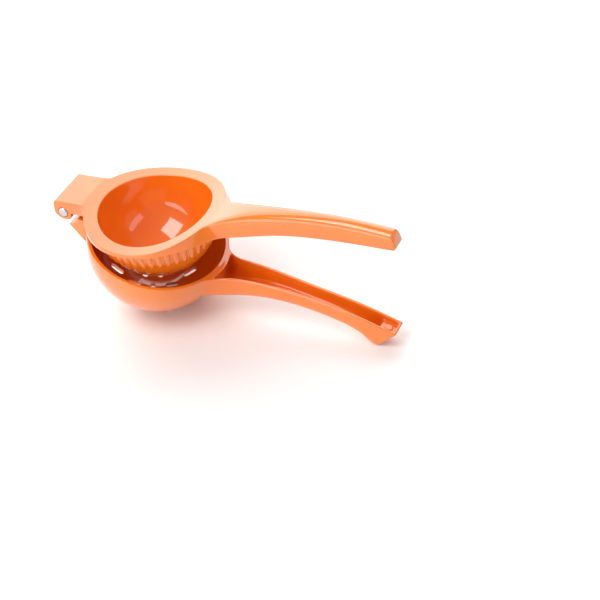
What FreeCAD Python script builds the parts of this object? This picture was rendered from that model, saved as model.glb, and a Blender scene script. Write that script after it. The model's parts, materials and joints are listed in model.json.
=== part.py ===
import FreeCAD, Part
import math
import os
from FreeCAD import Vector

# A hinged citrus squeezer of the large, orange size, in millimetres and degrees.
# Three real pieces: a strainer arm (bowl, hinge tongue and lower handle in one casting), a press arm
# (press cup, flange, hinge ears and upper handle in one casting) and the steel pin that joins them.
# Both arms are drawn with the bowl's rim plane level: the origin is the middle of the bowl's rim,
# +X runs towards the handle ends and +Z up. The last step opens the press arm about the pin
# and lays the tool down as it lies on a table, on its bowl and on the land at the handle's end.

# Bowl of the strainer arm
BOWL_OUTER_RADIUS = 47.5
BOWL_WALL = 2.6
BOWL_BAND = 3.5            # straight band between the rim and the half sphere

# Drain slots: rings of slots around one middle hole
DRAIN_WIDTH = 4.0
DRAIN_LENGTH = 9.0
DRAIN_RING_RADII = [13.0, 26.0]
DRAIN_RING_COUNTS = [6, 12]

# Press cup and its flange
SQUEEZE_GAP = 2.6          # from the rib crests to the bowl, for the peel
RIB_HEIGHT = 1.3           # how far a rib stands proud of the cup
RIB_COUNT = 44
RIB_SHARE = 0.92           # share of the pitch that a rib is wide
RIB_ARC = 20.0             # how far a rib runs down the cup, in degrees
CUP_WALL = 2.8
FLANGE_THICKNESS = 2.6     # at the sides of the cup
FLANGE_RISE = 7.1          # how much higher its top stands at the hinge and at the handle

# Hinge
PIN_OFFSET = 16.4          # from the bowl's outer wall to the pin's axis
PIN_HEIGHT = 1.1           # pin axis above the rim plane
PIN_RADIUS = 3.0
PIN_HEAD_RADIUS = 3.5
PIN_HEAD_HEIGHT = 0.9
PIN_FIXED_CLEARANCE = 0.02
PIN_RUNNING_CLEARANCE = 0.06
HINGE_WIDTH = 31.5
TONGUE_WIDTH = 15.0
TONGUE_CLEARANCE = 0.35
EAR_RADIUS = 5.6
TONGUE_RADIUS = 5.2
BLOCK_OVERHANG = 4.2       # top edge of the hinge block, beyond the pin's axis
SHOULDER_WIDTH = 29.6
SHOULDER_TOP = 0.0         # level with the bowl's rim
SHOULDER_DEPTH = 18.0      # how far down the bowl the shoulder's gusset reaches
SHOULDER_TIP = 7.6         # depth of its underside at the relief
RELIEF_CLEARANCE = 0.7     # between the block's swinging corner and the shoulder

# Handles: stations are shares of the reach, from the bowl's outer wall to the handle end
HANDLE_REACH = 126.1
HANDLE_STATIONS = [0.05, 0.10, 0.15, 0.26, 0.50, 0.75, 1.0]
LOWER_HALF_WIDTHS = [11.9, 10.9, 10.2, 9.0, 7.0, 6.8, 6.8]
UPPER_HALF_WIDTHS = [11.9, 10.8, 9.9, 8.5, 6.5, 6.0, 5.9]
ROOT_FLARE = 9.4           # extra half width of a handle's root where it leaves the ring
ROOT_INSET = 7.5           # how far inside the ring the flare starts
ROOT_BURIED = 12.0         # how far a root runs on inside the bowl or the flange
ROOT_FALL = 0.35           # slope at which the lower handle's keel runs into the bowl
LOWER_RIM_HEIGHTS = [1.6, 3.9, 5.9, 9.1, 13.5, 16.3, 16.0]
LOWER_KEEL_STATIONS = [0.08, 0.20, 0.34, 0.52, 0.72, 0.81]
LOWER_KEEL_HEIGHTS = [-14.2, -6.6, -0.7, 2.9, 4.6, 3.2]
UPPER_CROWN_HEIGHTS = [11.6, 13.6, 15.3, 18.2, 21.2, 21.7, 19.3]
UPPER_EDGE_STATIONS = [0.15, 0.27, 0.42, 0.60, 0.80, 1.0]
UPPER_EDGE_HEIGHTS = [1.3, 4.9, 8.0, 9.0, 9.1, 8.7]
UPPER_EDGE_START = 0.06    # share of the reach where the upper handle's lower edge leaves the flange
UPPER_ROOT_STEP = 0.4      # how far the upper handle's top starts below the flange's top edge
UPPER_END_SLANT = 2.6      # how much further the upper handle's end reaches at its lower edge
LAND_BACK = 11.0           # from the lower handle's rim end back to the middle of its land
LAND_HEIGHT = -1.5
LAND_LENGTH = 3.2
HANDLE_WALL = 1.9
KEEL_FILLET = 3.0
CROWN_FILLET = 4.0
KEEL_THICKNESS = 2.2
CROWN_THICKNESS = 2.8
CHANNEL_FILLET = 1.5

# Seat pad in the end of the lower handle's channel
PAD_LENGTH = 9.0
PAD_DEPTH = 3.5            # below the handle's rim
PAD_BOSS_RADIUS = 2.4
PAD_BOSS_HEIGHT = 0.6
END_WALL = 1.8

# Pose: how far the arm stands open, and where it stops
REST_OPENING = 18.8

# Values that follow from the ones above
bowl_inner_radius = BOWL_OUTER_RADIUS - BOWL_WALL
cup_crest_radius = bowl_inner_radius - SQUEEZE_GAP
cup_outer_radius = cup_crest_radius - RIB_HEIGHT
cup_inner_radius = cup_outer_radius - CUP_WALL
flange_top = FLANGE_THICKNESS + FLANGE_RISE
pin_x = -(BOWL_OUTER_RADIUS + PIN_OFFSET)
pin_point = Vector(pin_x, 0, PIN_HEIGHT)
block_corner_x = pin_x - BLOCK_OVERHANG
block_swing = math.hypot(BLOCK_OVERHANG, flange_top - PIN_HEIGHT)
relief_radius = block_swing + RELIEF_CLEARANCE
handle_end_x = BOWL_OUTER_RADIUS + HANDLE_REACH
root_x = BOWL_OUTER_RADIUS - ROOT_INSET
FAR = 4 * BOWL_OUTER_RADIUS   # larger than anything that is trimmed


def floor_slope():
    """Angle, seen from the side, of the table under the bowl and the land at the handle's end."""
    run = handle_end_x - LAND_BACK
    rise = LAND_HEIGHT + BOWL_BAND
    distance = math.hypot(run, rise)
    return math.degrees(math.atan2(rise, run) + math.asin(BOWL_OUTER_RADIUS / distance))


def station_x(share):
    return BOWL_OUTER_RADIUS + share * HANDLE_REACH


def curve(points):
    spline = Part.BSplineCurve()
    spline.interpolate(points)
    return spline.toShape()


def line(start, end):
    return Part.LineSegment(start, end).toShape()


def polyline(points):
    return [line(a, b) for a, b in zip(points, points[1:])]


def side_prism(edges, half_width):
    """A face in the XZ plane, given by its edges, pushed out to both sides."""
    face = Part.Face(Part.Wire(edges))
    face.translate(Vector(0, -half_width, 0))
    return face.extrude(Vector(0, 2 * half_width, 0))


def side_box(x_low, x_high, z_low, z_high, y_low, y_high):
    return Part.makeBox(x_high - x_low, y_high - y_low, z_high - z_low, Vector(x_low, y_low, z_low))


def pin_cylinder(radius, y_low, y_high):
    return Part.makeCylinder(radius, y_high - y_low, Vector(pin_x, y_low, PIN_HEIGHT), Vector(0, 1, 0))


def revolved(edges):
    """A face in the XZ plane with one side on the Z axis, turned into a solid."""
    return Part.Face(Part.Wire(edges)).revolve(Vector(0, 0, 0), Vector(0, 0, 1), 360)


def handle_plan(half_widths, inset=0.0, start=root_x - ROOT_BURIED):
    """Plan of a handle as a tall prism: flared at the ring, then a slow taper to the end."""
    flare = ROOT_FLARE + half_widths[0]
    far_side = [Vector(root_x, flare - inset, -FAR)]
    far_side += [Vector(station_x(s), w - inset, -FAR) for s, w in zip(HANDLE_STATIONS, half_widths)]
    near_side = [Vector(p.x, -p.y, p.z) for p in far_side]
    buried = root_x - ROOT_BURIED
    beyond = handle_end_x + FAR
    back = polyline([far_side[0], Vector(buried, far_side[0].y, -FAR),
                     Vector(buried, near_side[0].y, -FAR), near_side[0]])
    front = polyline([far_side[-1], Vector(beyond, far_side[-1].y, -FAR),
                      Vector(beyond, near_side[-1].y, -FAR), near_side[-1]])
    wire = Part.Wire(Part.__sortEdges__([curve(far_side), curve(near_side)] + back + front))
    prism = Part.Face(wire).extrude(Vector(0, 0, 2 * FAR))
    return prism.common(side_box(start, 2 * FAR, -FAR, FAR, -FAR, FAR))


def fillet_edges(shape, radius, chosen):
    edges = [edge for edge in shape.Edges if chosen(edge)]
    return shape.makeFillet(radius, edges)


def runs_along(edge, least_length):
    """True for an edge that runs mostly along the handle."""
    box = edge.BoundBox
    return box.XLength > least_length and box.XLength > 3 * box.YLength


# Strainer arm

def land_points():
    slope = math.radians(floor_slope())
    middle = Vector(handle_end_x - LAND_BACK, 0, LAND_HEIGHT)
    half = Vector(math.cos(slope), 0, math.sin(slope)) * (LAND_LENGTH / 2)
    return middle - half, middle + half


def lower_rim_points():
    points = [Vector(BOWL_OUTER_RADIUS, 0, 0)]
    points += [Vector(station_x(s), 0, z) for s, z in zip(HANDLE_STATIONS, LOWER_RIM_HEIGHTS)]
    return points


def lower_keel_points():
    return [Vector(station_x(s), 0, z) for s, z in zip(LOWER_KEEL_STATIONS, LOWER_KEEL_HEIGHTS)]


def bowl_outside():
    top = Vector(BOWL_OUTER_RADIUS, 0, 0)
    band = Vector(BOWL_OUTER_RADIUS, 0, -BOWL_BAND)
    bottom = Vector(0, 0, -BOWL_BAND - BOWL_OUTER_RADIUS)
    diagonal = BOWL_OUTER_RADIUS * math.sqrt(0.5)
    middle = Vector(diagonal, 0, -BOWL_BAND - diagonal)
    edges = [line(Vector(0, 0, 0), top), line(top, band), Part.Arc(band, middle, bottom).toShape(),
             line(bottom, Vector(0, 0, 0))]
    return revolved(edges)


def bowl_inside():
    height = 2 * flange_top
    ball = Part.makeSphere(bowl_inner_radius, Vector(0, 0, -BOWL_BAND))
    return ball.fuse(Part.makeCylinder(bowl_inner_radius, height + BOWL_BAND, Vector(0, 0, -BOWL_BAND)))


def lower_handle_side(rim_drop, keel_lift, end_inset):
    """Side outline of the lower handle, or of its channel when its edges are moved inwards."""
    down = Vector(0, 0, -rim_drop)
    up = Vector(0, 0, keel_lift)
    back = Vector(-end_inset, 0, 0)
    land_start, land_end = land_points()
    rim = [p + down for p in lower_rim_points()]
    keel = [p + up for p in lower_keel_points()]
    keel.append(land_start + up + back)
    rim[-1] = rim[-1] + back
    buried = root_x - ROOT_BURIED
    heel = Vector(buried, 0, keel[0].z - ROOT_FALL * (keel[0].x - buried))
    top = Vector(buried, 0, rim[0].z)
    edges = [line(top, rim[0]), curve(rim), line(rim[-1], land_end + up + back),
             line(land_end + up + back, keel[-1]), curve(keel), line(keel[0], heel), line(heel, top)]
    return Part.__sortEdges__(edges)


def lower_handle_outside():
    shape = handle_plan(LOWER_HALF_WIDTHS).common(side_prism(lower_handle_side(0, 0, 0), FAR))
    middle_z = LOWER_RIM_HEIGHTS[-1] / 2

    def at_keel(edge):
        return runs_along(edge, HANDLE_REACH / 4) and edge.BoundBox.ZMax < middle_z
    return fillet_edges(shape, KEEL_FILLET, at_keel)


def lower_channel():
    plan = handle_plan(LOWER_HALF_WIDTHS, HANDLE_WALL, BOWL_OUTER_RADIUS - HANDLE_WALL)
    shape = plan.common(side_prism(lower_handle_side(-FAR / 4, KEEL_THICKNESS, END_WALL), FAR))
    floor_z = LOWER_RIM_HEIGHTS[-1] / 2 + KEEL_THICKNESS

    def at_floor(edge):
        return runs_along(edge, HANDLE_REACH / 4) and edge.BoundBox.ZMax < floor_z
    return fillet_edges(shape, CHANNEL_FILLET, at_floor)


def pad_under_rim():
    """The solid end of the lower channel, up to the pad's top, and the round boss on it."""
    x_high = handle_end_x - END_WALL / 2
    x_low = handle_end_x - END_WALL - PAD_LENGTH
    top = LOWER_RIM_HEIGHTS[-1] - PAD_DEPTH
    block = side_box(x_low, x_high, -FAR, top, -FAR, FAR)
    body = lower_handle_outside().common(block)
    boss_x = (x_low + handle_end_x - END_WALL) / 2
    boss = Part.makeCylinder(PAD_BOSS_RADIUS, PAD_DEPTH + PAD_BOSS_HEIGHT, Vector(boss_x, 0, top - PAD_DEPTH))
    return body.fuse(boss)


def shoulder():
    """Gusset between the bowl and the hinge, hollowed where the block's corner swings past."""
    tip = Vector(pin_x + relief_radius / 2, 0, -SHOULDER_TIP)
    inner_x = -BOWL_OUTER_RADIUS * 0.9
    heel = Vector(inner_x, 0, -SHOULDER_DEPTH)
    points = [Vector(pin_x, 0, SHOULDER_TOP), Vector(pin_x, 0, -SHOULDER_TIP + (tip.x - pin_x) * 0.8), tip, heel,
              Vector(inner_x, 0, SHOULDER_TOP), Vector(pin_x, 0, SHOULDER_TOP)]
    wide = side_prism(polyline(points), SHOULDER_WIDTH / 2)
    return wide.cut(pin_cylinder(relief_radius, -FAR, FAR))


def tongue():
    half = TONGUE_WIDTH / 2
    knuckle = pin_cylinder(TONGUE_RADIUS, -half, half)
    neck_end = pin_x + relief_radius + BOWL_WALL
    neck = side_box(pin_x, neck_end, PIN_HEIGHT - TONGUE_RADIUS, SHOULDER_TOP, -half, half)
    return knuckle.fuse(neck)


def drain_slots():
    depth = BOWL_OUTER_RADIUS
    base = Vector(0, 0, -BOWL_BAND - BOWL_OUTER_RADIUS - BOWL_WALL)
    tools = [Part.makeCylinder(DRAIN_WIDTH / 2, depth, base)]
    for radius, count in zip(DRAIN_RING_RADII, DRAIN_RING_COUNTS):
        straight = DRAIN_LENGTH - DRAIN_WIDTH
        inner = radius - straight / 2
        slot = Part.makeBox(straight, DRAIN_WIDTH, depth, base + Vector(inner, -DRAIN_WIDTH / 2, 0))
        for x in (inner, inner + straight):
            slot = slot.fuse(Part.makeCylinder(DRAIN_WIDTH / 2, depth, base + Vector(x, 0, 0)))
        slot = slot.removeSplitter()
        for index in range(count):
            turned = slot.copy()
            turned.rotate(Vector(0, 0, 0), Vector(0, 0, 1), (index + 0.5) * 360 / count)
            tools.append(turned)
    return tools


def make_strainer_arm():
    outside = bowl_outside()
    channel = lower_channel().cut(outside)
    handle = lower_handle_outside().cut(channel).fuse(pad_under_rim())
    arm = outside.fuse([handle, shoulder(), tongue()])
    arm = arm.cut(bowl_inside())
    arm = arm.cut(drain_slots())
    arm = arm.cut(pin_cylinder(PIN_RADIUS + PIN_RUNNING_CLEARANCE, -FAR, FAR))
    return arm.removeSplitter()


# Press arm, drawn closed, with the flange's underside in the rim plane

def flange_top_curve():
    """The flange's top dips like a saddle: a parabola, highest over the hinge and the handle."""
    dip = Vector(0, 0, flange_top - 2 * FLANGE_RISE)
    arch = Part.BezierCurve()
    arch.setPoles([Vector(-BOWL_OUTER_RADIUS, 0, flange_top), dip, Vector(BOWL_OUTER_RADIUS, 0, flange_top)])
    return arch.toShape()


def flange_plate():
    start = Vector(-BOWL_OUTER_RADIUS, 0, flange_top)
    end = Vector(BOWL_OUTER_RADIUS, 0, flange_top)
    edges = [flange_top_curve(), line(end, Vector(end.x, 0, 0)),
             line(Vector(end.x, 0, 0), Vector(start.x, 0, 0)), line(Vector(start.x, 0, 0), start)]
    disc = Part.makeCylinder(BOWL_OUTER_RADIUS, flange_top, Vector(0, 0, 0))
    return disc.common(side_prism(edges, FAR))


def hinge_block():
    """Square block behind the flange, with a rounded ear hanging from each side of it."""
    half = HINGE_WIDTH / 2
    inner_x = -math.sqrt(BOWL_OUTER_RADIUS ** 2 - half ** 2) + FLANGE_THICKNESS
    left = pin_x - EAR_RADIUS
    right = pin_x + EAR_RADIUS
    top_left = Vector(block_corner_x, 0, flange_top)
    low = Vector(pin_x, 0, PIN_HEIGHT - EAR_RADIUS)
    left_side = Vector(left, 0, PIN_HEIGHT)
    right_side = Vector(right, 0, PIN_HEIGHT)
    inner_low = Vector(inner_x, 0, PIN_HEIGHT)
    inner_top = Vector(inner_x, 0, flange_top)
    edges = [line(top_left, left_side), Part.Arc(left_side, low, right_side).toShape(),
             line(right_side, inner_low), line(inner_low, inner_top), line(inner_top, top_left)]
    block = side_prism(edges, half)
    slot_half = TONGUE_WIDTH / 2 + TONGUE_CLEARANCE
    slot_radius = TONGUE_RADIUS + TONGUE_CLEARANCE
    gap = pin_cylinder(slot_radius, -slot_half, slot_half)
    behind = side_box(left - EAR_RADIUS, pin_x, -FAR, PIN_HEIGHT + slot_radius, -slot_half, slot_half)
    below = side_box(pin_x, pin_x + slot_radius, -FAR, PIN_HEIGHT, -slot_half, slot_half)
    return block.cut([gap, behind, below])


def cup_outside():
    ball = Part.makeSphere(cup_outer_radius)
    return ball.common(Part.makeCylinder(FAR, FAR, Vector(0, 0, -FAR + FLANGE_THICKNESS)))


def cup_inside():
    ball = Part.makeSphere(cup_inner_radius)
    return ball.fuse(Part.makeCylinder(cup_inner_radius, 2 * flange_top))


def ribs():
    """Round ribs down the cup's outside, each an arc of a ring with a ball at its lower end."""
    pitch = 2 * math.pi * cup_outer_radius / RIB_COUNT
    rib_radius = pitch / 2 * RIB_SHARE
    path_radius = cup_outer_radius + RIB_HEIGHT - rib_radius
    rib = Part.makeTorus(path_radius, rib_radius, Vector(0, 0, 0), Vector(0, 0, 1), -180, 180, RIB_ARC)
    end_angle = math.radians(RIB_ARC)
    end = Vector(path_radius * math.cos(end_angle), path_radius * math.sin(end_angle), 0)
    rib = rib.fuse(Part.makeSphere(rib_radius, end)).removeSplitter()
    rib.rotate(Vector(0, 0, 0), Vector(1, 0, 0), -90)
    copies = []
    for index in range(RIB_COUNT):
        turned = rib.copy()
        turned.rotate(Vector(0, 0, 0), Vector(0, 0, 1), (index + 0.5) * 360 / RIB_COUNT)
        copies.append(turned)
    return copies


def upper_handle_side(crown_drop, edge_drop, end_inset):
    """Side outline of the upper handle, or of its channel when its edges are moved."""
    drop = Vector(0, 0, -crown_drop)
    lower = Vector(0, 0, -edge_drop)
    crown = [Vector(BOWL_OUTER_RADIUS, 0, flange_top - UPPER_ROOT_STEP)]
    crown += [Vector(station_x(s), 0, z) for s, z in zip(HANDLE_STATIONS, UPPER_CROWN_HEIGHTS)]
    crown = [p + drop for p in crown]
    crown[-1] = crown[-1] - Vector(UPPER_END_SLANT + end_inset, 0, 0)
    edge = [Vector(station_x(UPPER_EDGE_START), 0, 0)]
    edge += [Vector(station_x(s), 0, z) for s, z in zip(UPPER_EDGE_STATIONS, UPPER_EDGE_HEIGHTS)]
    edge = [p + lower for p in edge]
    edge[-1] = edge[-1] - Vector(end_inset, 0, 0)
    inner_x = root_x - ROOT_BURIED
    slope = 2 * FLANGE_RISE / BOWL_OUTER_RADIUS
    top_start = Vector(inner_x, 0, crown[0].z - slope * (BOWL_OUTER_RADIUS - inner_x))
    low_start = Vector(inner_x, 0, edge[0].z)
    edges = [line(top_start, crown[0]), curve(crown), line(crown[-1], edge[-1]), curve(edge),
             line(edge[0], low_start), line(low_start, top_start)]
    return Part.__sortEdges__(edges)


def upper_handle_outside():
    """The lever with its rounded crown, joined to the sharp-edged root inside the flange."""
    whole = handle_plan(UPPER_HALF_WIDTHS).common(side_prism(upper_handle_side(0, 0, 0), FAR))
    root = whole.common(side_box(-FAR, BOWL_OUTER_RADIUS, -FAR, FAR, -FAR, FAR))
    lever = whole.common(side_box(BOWL_OUTER_RADIUS, 2 * FAR, -FAR, FAR, -FAR, FAR))

    def at_crown(edge):
        box = edge.BoundBox
        return runs_along(edge, HANDLE_REACH / 4) and box.ZMax > UPPER_EDGE_HEIGHTS[-1] + CROWN_FILLET
    return fillet_edges(lever, CROWN_FILLET, at_crown).fuse(root)


def upper_channel():
    start = BOWL_OUTER_RADIUS + HANDLE_WALL
    plan = handle_plan(UPPER_HALF_WIDTHS, HANDLE_WALL, start)
    return plan.common(side_prism(upper_handle_side(CROWN_THICKNESS, FAR / 4, END_WALL), FAR))


def make_press_arm():
    shell = flange_plate().fuse([hinge_block(), upper_handle_outside(), cup_outside()])
    shell = shell.fuse(ribs_below_flange())
    shell = shell.cut([cup_inside(), upper_channel()])
    return shell.cut(pin_cylinder(PIN_RADIUS + PIN_FIXED_CLEARANCE, -FAR, FAR)).removeSplitter()


def ribs_below_flange():
    below = Part.makeCylinder(FAR, FAR, Vector(0, 0, -FAR + FLANGE_THICKNESS / 2))
    return [rib.common(below) for rib in ribs()]


# Pin

def make_hinge_pin():
    half = HINGE_WIDTH / 2
    shank = pin_cylinder(PIN_RADIUS, -half, half)
    rise = PIN_HEAD_HEIGHT
    ball_radius = (PIN_HEAD_RADIUS ** 2 + rise ** 2) / (2 * rise)
    heads = []
    for side in (-1, 1):
        centre = Vector(pin_x, side * (half + rise - ball_radius), PIN_HEIGHT)
        ball = Part.makeSphere(ball_radius, centre)
        low, high = sorted((side * half, side * (half + ball_radius)))
        heads.append(ball.common(pin_cylinder(PIN_HEAD_RADIUS, low, high)))
    return shank.fuse(heads).removeSplitter()


# Laying the tool down

def opened(shape):
    turned = shape.copy()
    turned.rotate(pin_point, Vector(0, -1, 0), REST_OPENING)
    return turned


def laid_down(shape):
    """Turn the tool until the bowl and the land touch the table at height zero."""
    turned = shape.copy()
    turned.rotate(Vector(0, 0, -BOWL_BAND), Vector(0, 1, 0), floor_slope())
    turned.translate(Vector(0, 0, BOWL_BAND + BOWL_OUTER_RADIUS))
    return turned


def main():
    pieces = {
        "strainer_arm": make_strainer_arm(),
        "press_arm": opened(make_press_arm()),
        "hinge_pin": opened(make_hinge_pin()),
    }
    pieces = {name: laid_down(shape) for name, shape in pieces.items()}
    box = Part.makeCompound(list(pieces.values())).optimalBoundingBox()
    shift = Vector(-(box.XMin + box.XMax) / 2, 0, 0)
    pin = Part.Vertex(pin_point)
    pin_place = laid_down(pin).Point + shift
    os.makedirs("parts", exist_ok=True)
    for name, shape in pieces.items():
        shape.translate(shift)
        shape.exportStep(f"parts/{name}.step")
        print(name, "valid", shape.isValid(), "solids", len(shape.Solids), "faces", len(shape.Faces),
              "volume", round(shape.Volume, 1))
    print("pin axis at", [round(v, 3) for v in pin_place], "table slope", round(floor_slope(), 3))
    print("box", round(box.XLength, 2), round(box.YLength, 2), round(box.ZLength, 2), "shift", round(shift.x, 3))


main()
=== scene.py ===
# %% [markdown]
# # A hinged hand squeezer
# The real tool is two enamelled castings and a steel pin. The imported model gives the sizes, the
# hinge and the way the tool lies on a table. Its solids could be painted as they are, but a
# casting has soft edges and flowing roots that show in every reflection of a glossy paint. So
# each casting is modelled again as one smooth cage, which then takes the place of its solid.

# %% Load the frame
import bmesh
import bpy
import json
import math
from mathutils import Matrix, Vector


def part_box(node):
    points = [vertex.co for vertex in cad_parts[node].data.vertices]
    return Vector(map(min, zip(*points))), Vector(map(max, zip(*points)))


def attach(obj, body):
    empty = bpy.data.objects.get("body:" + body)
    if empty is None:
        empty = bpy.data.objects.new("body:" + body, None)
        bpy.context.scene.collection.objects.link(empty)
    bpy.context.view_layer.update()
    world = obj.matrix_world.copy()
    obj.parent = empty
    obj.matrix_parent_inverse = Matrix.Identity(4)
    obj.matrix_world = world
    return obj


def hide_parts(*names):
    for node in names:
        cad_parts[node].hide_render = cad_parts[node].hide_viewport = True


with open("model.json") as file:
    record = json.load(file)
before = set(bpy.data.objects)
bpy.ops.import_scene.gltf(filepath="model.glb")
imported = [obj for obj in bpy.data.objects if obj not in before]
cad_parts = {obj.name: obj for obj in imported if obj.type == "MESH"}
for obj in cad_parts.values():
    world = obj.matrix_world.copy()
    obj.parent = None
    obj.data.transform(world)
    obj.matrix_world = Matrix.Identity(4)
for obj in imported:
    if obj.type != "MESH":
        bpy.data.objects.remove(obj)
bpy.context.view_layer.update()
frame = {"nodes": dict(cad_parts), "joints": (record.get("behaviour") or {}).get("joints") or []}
print("nodes", sorted(frame["nodes"]))

# %% [markdown]
# ## Where things are
# The real tool lies tilted on the table, on its bowl and on the end of its lower handle. It could
# be modelled tilted, but then every height would be a sum. It is easier with the bowl's rim
# level, in millimetres, the middle of the rim at the origin and the handles along X. The hinge's
# place in the frame says how far the tool is tilted, so one matrix lays a finished piece down,
# and another one opens the press arm about the pin first.

# %% Matrices that open the press arm and lay a piece on the table
MM = 0.001
BOWL_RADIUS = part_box("strainer_arm")[1].y / MM
BOWL_BAND = 3.5
PIN = Vector((-BOWL_RADIUS - 16.4, 0, 1.1))
OPENING = math.radians(18.8)

hinge = Vector(frame["joints"][0]["pos_m"])
arm = math.hypot(PIN.x, PIN.z + BOWL_BAND)
rise = hinge.z / MM - BOWL_RADIUS
TILT = math.asin(rise / arm) - math.atan2(PIN.z + BOWL_BAND, -PIN.x)
OPEN = Matrix.Translation(PIN) @ Matrix.Rotation(-OPENING, 4, "Y") @ Matrix.Translation(-PIN)
LAY = (Matrix.Translation(hinge) @ Matrix.Rotation(TILT, 4, "Y")
       @ Matrix.Scale(MM, 4) @ Matrix.Translation(-PIN))
print("bowl radius", round(BOWL_RADIUS, 2), "tilt on the table", round(math.degrees(TILT), 3))

# %% [markdown]
# ## Drawing a lathe shape
# A cup, a bowl and a pin are the same all the way round, so one half of the outline says it all.
# A ball could be cut and given a thickness instead, but a drawn profile keeps both faces of a wall
# where they are on the casting. A small plane is merged to a vertex, extruded from point to
# point, and the line is spun about the Z axis.


# %% Draw a line of points in edit mode
def edit(piece):
    """Open one piece in edit mode with nothing selected."""
    if bpy.context.object and bpy.context.object.mode == "EDIT":
        bpy.ops.object.mode_set(mode="OBJECT")
    bpy.ops.object.select_all(action="DESELECT")
    piece.select_set(True)
    bpy.context.view_layer.objects.active = piece
    bpy.ops.object.mode_set(mode="EDIT")
    bpy.ops.mesh.select_mode(type="FACE")
    bpy.ops.mesh.select_all(action="DESELECT")


def draw(name, points):
    """Draw a line through points, starting with a small plane merged to one vertex."""
    bpy.ops.object.select_all(action="DESELECT")
    bpy.ops.mesh.primitive_plane_add(size=1, location=(0, 0, 0))
    piece = bpy.context.object
    piece.name = piece.data.name = name
    edit(piece)
    bpy.ops.mesh.select_mode(type="VERT")
    bpy.ops.mesh.select_all(action="SELECT")
    bpy.ops.mesh.merge(type="CENTER")
    bpy.ops.mesh.select_all(action="SELECT")
    bpy.ops.transform.translate(value=points[0])
    for here, there in zip(points, points[1:]):
        step = tuple(Vector(there) - Vector(here))
        bpy.ops.mesh.extrude_region_move(TRANSFORM_OT_translate={"value": step})
    bpy.ops.mesh.select_all(action="SELECT")
    return piece


# %% [markdown]
# ### Spinning it, a little larger
# A subdivided cage shrinks: a ring of straight steps is drawn in towards its middle. Many more
# steps would hide that, but a fine cage is hard to shape afterwards. The shrinking is the same for
# every ring with the same step, so the cage is drawn larger by just that share.

# %% Spin a profile into a closed skin
SPOKES = 48
# Points that are nearer than this are one point
NEAR = 0.001


def cage():
    """The mesh that is open in edit mode."""
    return bmesh.from_edit_mesh(bpy.context.edit_object.data)


def swell(step):
    """The share by which a ring is drawn larger when its steps turn by this angle."""
    return 3 / (2 + math.cos(step))


def spun(name, profile, spokes=SPOKES):
    """Spin a profile of (radius, height) pairs about the Z axis into a closed skin."""
    out = swell(2 * math.pi / spokes)
    piece = draw(name, [(r * out, 0, z) for r, z in profile])
    bpy.ops.mesh.spin(steps=spokes, angle=2 * math.pi, center=(0, 0, 0), axis=(0, 0, 1))
    bpy.ops.mesh.select_all(action="SELECT")
    bpy.ops.mesh.remove_doubles(threshold=NEAR)
    bpy.ops.mesh.normals_make_consistent(inside=False)
    print(name, "cage", len(cage().faces), "faces")
    return piece


print("a ring of", SPOKES, "spokes is drawn larger by", round(swell(2 * math.pi / SPOKES), 5))

# %% [markdown]
# ### Round stretches of a profile
# The cup and the bowl are parts of a ball, so most of a profile is an arc. Its points could be
# typed in one by one. A formula needs only the radius, both ends and the number of points, and
# the cage's own arc is drawn larger in the same way as the rings are.


# %% Arcs for a profile
CUP_INSIDE = 38.2


def arc(radius, start, end, count, middle=(0, 0)):
    """Points (x, z) along an arc, its angles in degrees from the X axis."""
    angles = [math.radians(start + (end - start) * i / (count - 1)) for i in range(count)]
    return [(middle[0] + radius * math.cos(a), middle[1] + radius * math.sin(a)) for a in angles]


def cage_arc(radius, start, end, count, middle=(0, 0)):
    """An arc for a piece that is subdivided later."""
    return arc(radius * swell(math.radians(end - start) / (count - 1)), start, end, count, middle)


cup_inside = cage_arc(CUP_INSIDE, -90, 0, 15)
print("the cup's deepest point is drawn at", round(cup_inside[0][1], 2))

# %% [markdown]
# ## The press arm
# One casting: a round cup, hollow from above, with a flange round it, a square hinge block
# behind and a long handle in front. Separate pieces could be joined by booleans, but every joint
# would show as a hard crease in the paint. So the cup and its flange are spun as one cage, and
# the handle and the block are extruded out of the flange's own edge.

# %% Spin the cup and its flange
CUP_OUTSIDE = 41.0
FLANGE = 2.6
LIP = 0.9
POLE_RING = 1.2


def near_pole(radius, below=0.0):
    """A small ring beside the pole, which keeps the fan of triangles there small."""
    return [(POLE_RING, -below - math.sqrt(radius ** 2 - POLE_RING ** 2))]


cup_outside = cage_arc(CUP_OUTSIDE, -6, -90, 14)
flange_top = [(CUP_INSIDE, 1.2), (CUP_INSIDE, FLANGE), (CUP_INSIDE + LIP, FLANGE), (42.6, FLANGE),
              (BOWL_RADIUS - LIP, FLANGE), (BOWL_RADIUS, FLANGE)]
flange_below = [(BOWL_RADIUS, 1.2), (BOWL_RADIUS, 0.6), (BOWL_RADIUS, 0), (BOWL_RADIUS - 0.8, 0),
                (43.6, 0), (42.0, 0), (41.15, -1.4)]
press_profile = (cup_inside[:1] + near_pole(CUP_INSIDE) + cup_inside[1:] + flange_top + flange_below
                 + cup_outside)
press = spun("press_casting", press_profile)

# %% [markdown]
# ### The flange's saddle
# On the real tool the flange's top isn't flat. It rises towards the hinge and towards the handle
# like a saddle, and its lower edge swings out beside the handle's root. Proportional editing
# could do this by eye. A function that says where each vertex goes gives both sides the same
# curve, and the handle can ask it where the flange's edge has ended up.


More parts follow.
